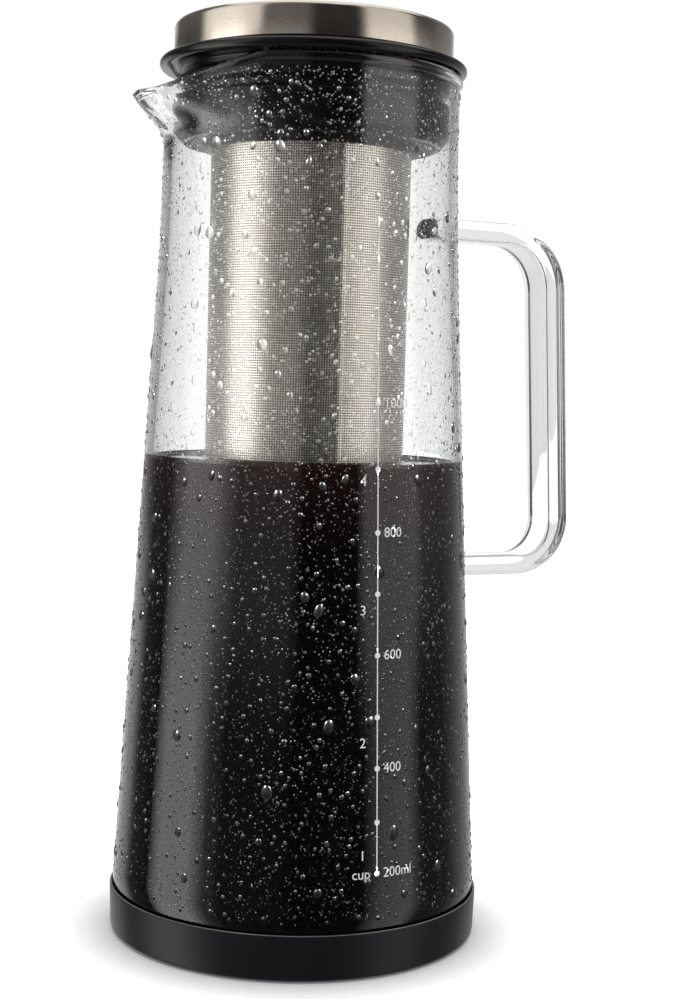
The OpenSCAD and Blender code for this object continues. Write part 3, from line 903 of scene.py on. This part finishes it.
def make_print():
    """The scale's line, its dots, numbers and cups, bent round the wall and joined into one piece."""
    parts = [print_strip("scale_line", 0, 0.32, SCALE_MARKS[0][1], 205, 60)]
    for volume, z in SCALE_MARKS:
        parts.append(print_dot(f"dot_{volume}", 0, z, 0.78))
        if volume in LABELLED:
            parts.append(print_label(f"label_{volume}", LABELLED[volume], 1.9, z))
    for text, z in CUPS:
        parts.append(print_label(f"cup_{text}", text, -4.2, z, "CENTER"))
    parts.append(print_label("cup_word", "cup", -1.9, SCALE_MARKS[0][1], "RIGHT"))
    for obj in parts:
        wrap(obj)
    bpy.ops.object.select_all(action="DESELECT")
    for obj in parts:
        obj.select_set(True)
    bpy.context.view_layer.objects.active = parts[0]
    bpy.ops.object.join()
    parts[0].name = "printed_scale"
    return parts[0]


piece(make_print(), "carafe", "print")

# ---------------- condensation
rng = np.random.default_rng(20251)
# (distance round the wall, height, radius) of the drops placed so far, by cell of the wall
taken = {}


def drop_template(profile, around):
    """Unit drop as (across, down, out) points: rings of the profile's (radius, height) and a flat closed
    back."""
    rings = len(profile)
    points = [(0.0, 0.0, 1.0)]
    for radius, out in profile:
        for j in range(around):
            b = TAU * j / around
            points.append((radius * math.cos(b), radius * math.sin(b), out))
    points.append((0.0, 0.0, 0.0))
    faces = []
    for j in range(around):
        n = (j + 1) % around
        faces.append((0, 1 + j, 1 + n))
        for k in range(rings - 1):
            a, b = 1 + k * around, 1 + (k + 1) * around
            faces.append((a + j, b + j, b + n))
            faces.append((a + j, b + n, a + n))
        last = 1 + (rings - 1) * around
        faces.append((len(points) - 1, last + n, last + j))
    return np.array(points), np.array(faces)


carafe_tree = BVHTree.FromPolygons([v.co for v in carafe.data.vertices],
                                   [tuple(face.vertices) for face in carafe.data.polygons])


def outer_wall(turn, z):
    """Point in mm and outward normal on the carafe's outside, or None above its lip."""
    away = Vector((math.cos(turn), math.sin(turn), 0))
    start = away * FAR_OUT + Vector((0, 0, z * MM))
    point, normal, _, _ = carafe_tree.ray_cast(start, -away)
    if point is None or point.xy.length < (float(wall_radius(z)) - RAY_SLACK) * MM:
        return None
    if normal.dot(away) < 0:
        normal = -normal
    return point / MM, normal


def shaped_drop(template, size, stretch, heights):
    """Points of one drop. A heavy drop hangs: its lower half is longer and fuller than its upper half."""
    long = 1 + abs(rng.normal(0, stretch))
    p = template.copy()
    p[:, 1] *= np.where(p[:, 1] > 0, 1 + 0.25 * (long - 1), long)
    p[:, 0] *= 1 + 0.08 * rng.standard_normal()
    lean = rng.normal(0, 0.12)
    p[:, 0] += lean * p[:, 1]
    p[:, :2] *= size
    p[:, 2] = p[:, 2] * size * rng.uniform(*heights) - DROP_SUNK
    return p


def scatter_drops(name, count, sizes, stretch, heights, profile, around, keep_off):
    """Drops in random places on the outer wall, with keep_off times their radii between them. sizes is the
    smallest radius, the range above it, and the power that makes most of them small."""
    template, faces = drop_template(profile, around)
    all_points, all_faces = [], []
    tries = 0
    while len(all_points) < count and tries < count * TRIES_PER_DROP:
        tries += 1
        z = rng.uniform(WALL_LOW_Z + 1.5, RIM_Z - 4.5)
        turn = rng.uniform(-math.pi, math.pi)
        size = sizes[0] + sizes[1] * rng.random() ** sizes[2]
        x = turn * float(wall_radius(z))
        column, row = int(x // CELL), int(z // CELL)
        cells = [(column + i, row + j) for i in (-1, 0, 1) for j in (-1, 0, 1)]
        near = [drop for cell in cells for drop in taken.get(cell, ())]
        if any((d[0] - x) ** 2 + (d[1] - z) ** 2 < (keep_off * (d[2] + size)) ** 2 for d in near):
            continue
        place = outer_wall(turn, z)
        if place is None:
            continue
        taken.setdefault((column, row), []).append((x, z, size))
        centre, out = place
        across = Vector((0, 0, 1)).cross(out).normalized()
        p = shaped_drop(template, size, stretch, heights)
        all_faces.append(faces + len(all_points) * len(template))
        all_points.append(np.array(centre) + p @ np.array([across, across.cross(out), out]))
    return make_mesh(name, np.concatenate(all_points), np.concatenate(all_faces).tolist(), sharp=80)


# (radius, height) of rounded caps that grow steeper towards the edge, with fewer rings on smaller drops
FULL_PROFILE = ((0.3, 0.94), (0.55, 0.78), (0.78, 0.52), (0.93, 0.26), (1.0, 0.0))
PLAIN_PROFILE = ((0.45, 0.86), (0.78, 0.52), (0.95, 0.22), (1.0, 0.0))
SMALL_PROFILE = ((0.6, 0.74), (0.93, 0.25), (1.0, 0.0))
drops = [scatter_drops("drops_large", 260, (0.85, 0.75, 2), 0.4, (0.36, 0.46), FULL_PROFILE, 18, 1.3)]
for group in (1, 2):
    drops.append(scatter_drops(f"drops_middle_{group}", 1700, (0.34, 0.38, 1.6), 0.22, (0.4, 0.5),
                               PLAIN_PROFILE, 10, 1.35))
for group in (1, 2, 3, 4, 5):
    drops.append(scatter_drops(f"drops_small_{group}", 5200, (0.14, 0.15, 1.3), 0.15, (0.36, 0.46),
                               SMALL_PROFILE, 6, 1.0))
for obj in drops:
    piece(obj, "carafe", "water")

# ---------------- studio
CAMERA_TURN_FROM_X = math.radians(-117)


def floor_material():
    """White card. It keeps the object's shadow near the object and glows white away from it."""
    material, tree, shader = new_material("white_floor")
    shader.inputs["Base Color"].default_value = (0.86, 0.86, 0.86, 1)
    shader.inputs["Roughness"].default_value = 0.7
    shader.inputs["Specular IOR Level"].default_value = 0.1
    shader.inputs["Emission Color"].default_value = (1, 1, 1, 1)
    away = add(tree, "ShaderNodeVectorMath", operation="LENGTH")
    tree.links.new(object_place(tree), away.inputs[0])
    far = smooth_step(tree, away.outputs["Value"], 0.045, 0.085, 0.8)
    path = add(tree, "ShaderNodeLightPath")
    seen = maths(tree, "MAXIMUM", path.outputs["Is Camera Ray"], path.outputs["Is Transmission Ray"])
    tree.links.new(maths(tree, "MULTIPLY", seen, far), shader.inputs["Emission Strength"])
    # mirrored rays pass through the floor to the studio beyond it
    clear = add(tree, "ShaderNodeBsdfTransparent")
    choose = add(tree, "ShaderNodeMixShader")
    tree.links.new(maths(tree, "MINIMUM", path.outputs["Glossy Depth"], 1.0), choose.inputs[0])
    tree.links.new(shader.outputs[0], choose.inputs[1])
    tree.links.new(clear.outputs[0], choose.inputs[2])
    tree.links.new(choose.outputs[0], tree.nodes["Material Output"].inputs[0])
    return material


def make_floor(half=3.0):
    mesh = bpy.data.meshes.new("studio_floor")
    corners = [(-half, -half, 0), (half, -half, 0), (half, half, 0), (-half, half, 0)]
    mesh.from_pydata(corners, [], [(0, 1, 2, 3)])
    floor = bpy.data.objects.new("studio_floor", mesh)
    bpy.context.scene.collection.objects.link(floor)
    mesh.materials.append(floor_material())


make_floor()

# The studio seen in reflections, as (angle to the right of the camera's direction in degrees, brightness,
# warmth): as the cap mirrors it, as the stopper does, as the filter does, and as the lower carafe and boot do
STUDIO_TOP = (
    (-180, 0.8, 0.0), (-160, 0.6, 0.0), (-148, 0.14, 0.2), (-106, 0.14, 0.3), (-97, 1.1, 0.4),
    (-68, 1.25, 0.5), (-46, 0.95, 0.7), (-41, 0.17, 0.5), (-5, 0.14, 0.6), (0, 0.03, 0.4),
    (38, 0.03, 0.4), (44, 0.8, 0.7), (84, 0.85, 0.6), (89, 0.08, 0.5), (110, 0.08, 0.3),
    (128, 0.2, 0.1), (150, 0.25, 0.1), (180, 0.8, 0.0))
STUDIO_HIGH = (
    (-180, 0.8, 0.0), (-164, 0.4, 0.0), (-148, 0.04, 0.2), (-104, 0.04, 0.3), (-97, 1.1, 0.4),
    (-68, 1.5, 0.5), (-46, 1.3, 0.7), (-41, 0.04, 0.5), (-5, 0.02, 0.6), (0, 0.02, 0.4),
    (38, 0.02, 0.4), (44, 1.1, 0.7), (86, 1.1, 0.6), (92, 0.3, 0.5), (110, 0.2, 0.3),
    (128, 0.22, 0.1), (150, 0.3, 0.1), (180, 0.8, 0.0))
STUDIO_MID = (
    (-180, 0.9, 0.0), (-150, 0.4, 0.0), (-128, 0.10, 0.2), (-106, 0.12, 0.3), (-96, 0.9, 0.4),
    (-86, 2.3, 0.5), (-64, 2.5, 0.6), (-52, 1.1, 0.7), (-44, 0.45, 0.5), (-8, 0.38, 0.6),
    (0, 0.02, 0.4), (38, 0.02, 0.4), (46, 1.3, 0.7), (84, 1.3, 0.6), (92, 0.5, 0.5),
    (112, 0.25, 0.3), (130, 0.3, 0.1), (180, 0.9, 0.0))
STUDIO_LOW = (
    (-180, 0.9, 0.0), (-160, 0.9, 0.0), (-136, 0.8, 0.0), (-124, 0.12, 0.2), (-104, 0.06, 0.2),
    (-92, 2.5, 0.4), (-70, 3.1, 0.4), (-57, 0.5, 0.4), (-46, 0.10, 0.5), (-8, 0.06, 0.6),
    (0, 0.02, 0.4), (44, 0.03, 0.4), (58, 1.1, 0.5), (76, 1.3, 0.5), (88, 0.12, 0.4),
    (112, 0.12, 0.3), (132, 0.4, 0.1), (180, 0.9, 0.0))


def studio_ramp(tree, angle, bands):
    ramp = add(tree, "ShaderNodeValToRGB")
    tree.links.new(angle, ramp.inputs[0])
    stops = ramp.color_ramp.elements
    while len(stops) < len(bands):
        stops.new(0.5)
    for stop, (degrees, level, warm) in zip(stops, bands):
        stop.position = degrees / 360 + 0.5
        stop.color = (level, level * (1 - 0.06 * warm), level * (1 - 0.13 * warm), 1)
    return ramp.outputs[0]


def make_world():
    """White behind the object, as seen directly and through glass; striplights and dark flags in reflections;
    an even plain light on matt surfaces."""
    world = bpy.data.worlds.new("studio")
    bpy.context.scene.world = world
    world.use_nodes = True
    tree = world.node_tree
    tree.nodes.clear()
    place = add(tree, "ShaderNodeTexCoord").outputs["Generated"]
    turned = add(tree, "ShaderNodeVectorRotate", rotation_type="Z_AXIS")
    turned.inputs["Angle"].default_value = -CAMERA_TURN_FROM_X
    tree.links.new(place, turned.inputs["Vector"])
    split = add(tree, "ShaderNodeSeparateXYZ")
    tree.links.new(turned.outputs[0], split.inputs[0])
    x, y, z = split.outputs
    angle = maths(tree, "ADD", maths(tree, "DIVIDE", maths(tree, "ARCTAN2", y, x), TAU), 0.5)
    level = studio_ramp(tree, angle, STUDIO_LOW)
    for low, high, bands in (
            (-0.12, -0.01, STUDIO_MID), (0.12, 0.15, STUDIO_HIGH), (0.18, 0.195, STUDIO_TOP)):
        level = mix_colours(tree, smooth_step(tree, z, low, high), level, studio_ramp(tree, angle, bands))
    # high above and straight below, the studio is an even grey
    steep = smooth_step(tree, maths(tree, "ABSOLUTE", z), 0.55, 0.9)
    reflected = mix_colours(tree, steep, level, (0.25, 0.245, 0.24, 1))
    # white panels stand behind and before the object: thick or steep glass bends rays past their edges
    panel = smooth_step(tree, maths(tree, "ABSOLUTE", x), 0.25, 0.55)
    behind = mix_colours(tree, panel, reflected, (1, 1, 1, 1))
    path = add(tree, "ShaderNodeLightPath")
    mirrored = maths(tree, "MINIMUM", path.outputs["Glossy Depth"], 1.0)
    scattered = maths(tree, "MINIMUM", path.outputs["Diffuse Depth"], 1.0)
    colour = mix_colours(tree, mirrored, behind, reflected)
    colour = mix_colours(tree, scattered, colour, (0.72, 0.72, 0.72, 1))
    colour = mix_colours(tree, path.outputs["Is Camera Ray"], colour, (1, 1, 1, 1))
    background = add(tree, "ShaderNodeBackground")
    tree.links.new(colour, background.inputs[0])
    output = add(tree, "ShaderNodeOutputWorld")
    tree.links.new(background.outputs[0], output.inputs[0])


make_world()


def make_lamp(name, place, target, size, energy):
    lamp = bpy.data.lights.new(name, "AREA")
    lamp.shape = "RECTANGLE"
    lamp.size, lamp.size_y = size
    lamp.energy = energy
    obj = bpy.data.objects.new(name, lamp)
    obj.location = place
    obj.rotation_euler = (Vector(target) - Vector(place)).to_track_quat("-Z", "Y").to_euler()
    bpy.context.scene.collection.objects.link(obj)
    return obj


def from_camera(turn, height, distance):
    """Place at an angle to the right of the camera's direction and a height angle, both in degrees."""
    a, e = CAMERA_TURN_FROM_X + math.radians(turn), math.radians(height)
    along = distance * math.cos(e)
    return along * math.cos(a), along * math.sin(a), distance * math.sin(e) + 0.1


MIDDLE = (0, 0, 0.12)
make_lamp("overhead", (0.15, 0.1, 1.3), MIDDLE, (1.6, 1.6), 8)
# a pair of tall softboxes that only the condensation catches
wet = bpy.data.collections.new("condensation")
for obj in drops:
    wet.objects.link(obj)
for name, turn in (("left_softbox", -56), ("right_softbox", 54)):
    softbox = make_lamp(name, from_camera(turn, 38, 1.1), MIDDLE, (0.12, 0.18), 120)
    softbox.light_linking.receiver_collection = wet


# ---------------- camera
def turn_pair(first, second, angle):
    """Both directions, turned by an angle from the first towards the second."""
    c, s = math.cos(angle), math.sin(angle)
    return first * c + second * s, second * c - first * s


def make_camera():
    """At the photograph's viewing angle, level with the upper half of the carafe."""
    distance, height = 0.4859, 0.1574
    turn, pitch, roll = math.radians(1.248), math.radians(4.0), math.radians(1.585)
    focal_per_frame_height = 1.7017
    out = Vector((math.cos(CAMERA_TURN_FROM_X), math.sin(CAMERA_TURN_FROM_X), 0))
    ahead, right, up = -out, Vector((-out.y, out.x, 0)), Vector((0, 0, 1))
    ahead, right = turn_pair(ahead, right, turn)
    up, ahead = turn_pair(up, ahead, pitch)
    right, up = turn_pair(right, up, roll)
    data = bpy.data.cameras.new("camera")
    data.sensor_fit = "VERTICAL"
    data.sensor_height = 36
    data.lens = focal_per_frame_height * data.sensor_height
    data.clip_start = 0.01
    camera = bpy.data.objects.new("camera", data)
    place = out * distance + Vector((0, 0, height))
    camera.matrix_world = Matrix(((right.x, up.x, -ahead.x, place.x), (right.y, up.y, -ahead.y, place.y),
                                  (right.z, up.z, -ahead.z, place.z), (0, 0, 0, 1)))
    bpy.context.scene.collection.objects.link(camera)
    bpy.context.scene.camera = camera


make_camera()
bpy.context.scene.view_settings.view_transform = "Standard"
